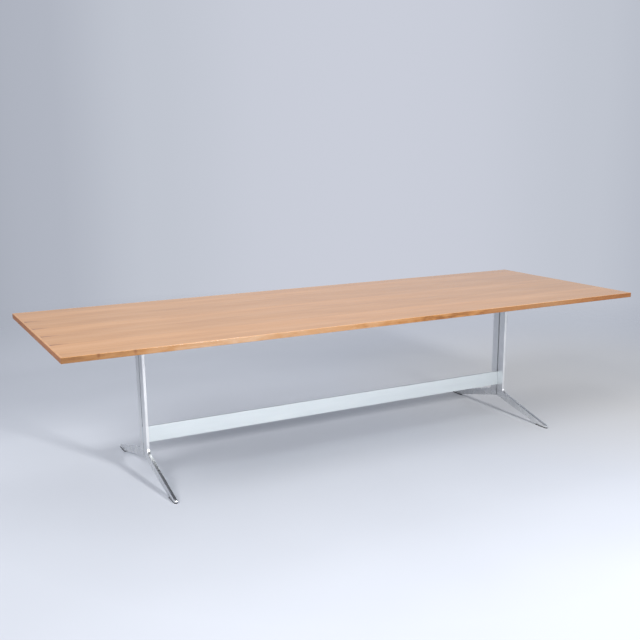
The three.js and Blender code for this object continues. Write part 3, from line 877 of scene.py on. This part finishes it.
def stage_floor():
    """A pale floor that holds the shadow and fades into the sweep far from the table, with a painted tint
    of the light to the right of it.
    """
    deselect()
    bpy.ops.mesh.primitive_circle_add(vertices=FLOOR_SIDES, radius=FLOOR_RADIUS, fill_type="NGON")
    floor = bpy.context.object
    floor.name = floor.data.name = "studio_floor"
    material, tree, shader, place = new_material("matt_pale_floor")
    cloud = add(tree, "TexNoise", {"Vector": place, "Scale": 1.0, "Detail": 2.0})
    colour = add(tree, "ValToRGB", {"Fac": cloud}, stops=FLOOR_TONES)
    # Painted tint of the light: the floor greyer and less blue right of the table
    aside = add(tree, "VectorMath", {0: place, 1: FLOOR_GREY_PLACE}, operation="DISTANCE").outputs["Value"]
    greyed = add(tree, "MapRange", {"Value": aside, **spread(*FLOOR_GREY_REACH, 1.0, 0.0)})
    neutral = {AMOUNT: greyed, UNDER: colour, OVER: linear(FLOOR_GREY)}
    colour = add(tree, "Mix", neutral, **RGB).outputs[MIXED]
    wire(tree, shader, {"Base Color": colour, "Roughness": FLOOR_ROUGHNESS})
    distance = add(tree, "VectorMath", {0: place}, operation="LENGTH").outputs["Value"]
    fade = add(tree, "MapRange", {"Value": distance, **spread(*FLOOR_FADE, 0.0, 1.0)})
    clear = add(tree, "BsdfTransparent", {})
    mixed = add(tree, "MixShader", {0: fade, 1: shader, 2: clear})
    wire(tree, tree.nodes["Material Output"], {"Surface": mixed})
    floor.data.materials.append(material)


def background():
    """A pale sweep to the eye and in reflections, and a softer even light on everything."""
    world = bpy.data.worlds.new("studio")
    bpy.context.scene.world = world
    world.use_nodes = True
    tree = world.node_tree
    tree.nodes.clear()
    heading = add(tree, "TexCoord", {}).outputs["Generated"]
    level = add(tree, "VectorMath", {0: heading, 1: (1, 1, 0)}, operation="MULTIPLY")
    level = add(tree, "VectorMath", {0: level}, operation="NORMALIZE")
    facing = add(tree, "VectorMath", {0: level, 1: SWEEP_AXIS}, operation="DOT_PRODUCT").outputs["Value"]
    share = add(tree, "MapRange", {"Value": facing, **spread(-1.0, 1.0, 0.0, 1.0)})
    tone = add(tree, "ValToRGB", {"Fac": share}, stops=SWEEP_TONES)
    tone.color_ramp.interpolation = "EASE"
    sweep = add(tree, "Background", {"Color": tone, "Strength": 1.0})
    glow = add(tree, "Background", {"Color": linear(AMBIENT_COLOUR), "Strength": AMBIENT_LEVEL})
    path = add(tree, "LightPath", {}).outputs
    bounced = {0: path["Is Glossy Ray"], 1: path["Is Transmission Ray"]}
    mirrored = add(tree, "Math", bounced, operation="MAXIMUM")
    seen = add(tree, "Math", {0: path["Is Camera Ray"], 1: mirrored}, operation="MAXIMUM")
    mixed = add(tree, "MixShader", {0: seen, 1: glow, 2: sweep})
    add(tree, "OutputWorld", {"Surface": mixed})


def soft_box(name, place, target, size, power, mirrored):
    """A large square lamp that looks at a point and isn't itself seen."""
    lamp = bpy.data.lights.new(name, "AREA")
    lamp.shape = "SQUARE"
    lamp.size = size
    lamp.energy = power
    lamp.color = linear(LAMP_COLOUR)[:3]
    holder = bpy.data.objects.new(name, lamp)
    bpy.context.collection.objects.link(holder)
    holder.location = place
    holder.rotation_euler = (Vector(target) - Vector(place)).to_track_quat("-Z", "Y").to_euler()
    holder.visible_camera = False
    holder.visible_glossy = mirrored
    return holder


def share_light(lamp, pieces, state):
    """Keeps the light of a lamp off some pieces, or lets it fall on these alone."""
    lit = bpy.data.collections.new(f"{lamp.name}_pieces")
    for piece in pieces:
        lit.objects.link(piece)
    lamp.light_linking.receiver_collection = lit
    for entry in lit.collection_objects:
        entry.light_linking.link_state = state


def photo_camera():
    """The photograph's viewpoint: a seated eye's height, off the left front corner."""
    lens = bpy.data.cameras.new("photo_camera")
    lens.lens = CAMERA_LENS
    lens.sensor_width = CAMERA_SENSOR
    lens.shift_x, lens.shift_y = CAMERA_SHIFT
    camera = bpy.data.objects.new("photo_camera", lens)
    bpy.context.collection.objects.link(camera)
    camera.location = CAMERA_PLACE
    camera.rotation_euler = [math.radians(angle) for angle in CAMERA_ANGLES]
    bpy.context.scene.camera = camera


# The table

veneer = cherry("satin_cherry_veneer", VENEER_TONES, leaves=True)
casting = cast_aluminium()
zinc = zinc_plate()
finish_nodes(veneer, "top_veneer")
finish_nodes(backing_sheet(), "underside_backing")
finish_nodes(particle_board(), "top_core")
finish_nodes(powder_coat(), *(f"{side}_bearer" for side in SIDES))
ends = [f"{side}_{place}" for side in SIDES for place in PLACES]
finish_nodes(glide_rubber(), *(f"{end}_glide" for end in ends))
for kind in ("glide_screw", "leg_screw"):
    finish_nodes(zinc, *(f"{end}_{kind}_{place}" for end in ends for place in SCREW_PLACES))

trestles(casting, zinc)
stretcher(brushed_aluminium())
wood_screws(zinc)

# Lipping upper faces take the veneer's tones; their darker side-face tones are partly painted shade
plain = {"curl_share": QUIET_CURL, "upper_tones": VENEER_TONES}
figured = {"curl_share": LIVELY_CURL, "upper_tones": VENEER_TONES}
left_wood = cherry("cherry_lipping_left", LEFT_TONES, knots=LEFT_KNOTS, pale_zone=LEFT_PAINTED_HIGHLIGHT, **plain)
middle_wood = cherry("cherry_lipping_middle", MIDDLE_TONES, pale_zone=MIDDLE_PAINTED_HIGHLIGHT, **figured)
right_wood = cherry("cherry_lipping_right", RIGHT_TONES, pale_zone=RIGHT_PALING, **plain)
end_wood = cherry("cherry_lipping_ends", END_TONES, along="Y", roughness=MATT, **plain)
front, back = Vector((0, -1, 0)), Vector((0, 1, 0))
left, right = Vector((-1, 0, 0)), Vector((1, 0, 0))
lipping("front_lipping_left", front, ("low",), left_wood)
lipping("front_lipping_middle", front, (), middle_wood)
lipping("front_lipping_right", front, ("high",), right_wood)
lipping("back_lipping", back, ("low", "high"), middle_wood)
lipping("left_end_lipping", left, ("low", "high"), end_wood)
lipping("right_end_lipping", right, ("low", "high"), end_wood)

stage_floor()
background()
lamps = {lamp[0]: soft_box(*lamp) for lamp in LAMPS}
# From behind, the lacquer of these pieces would mirror the front lamp as a burnt-out patch
lacquered = [bpy.data.objects[f"{side}_lipping_strip"] for side in ("back", "left_end", "right_end")]
lacquered.append(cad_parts["top_veneer"])
share_light(lamps["front"], lacquered, "EXCLUDE")
share_light(lamps["front_for_top"], lacquered, "INCLUDE")
photo_camera()
bpy.context.scene.view_settings.view_transform = "Standard"
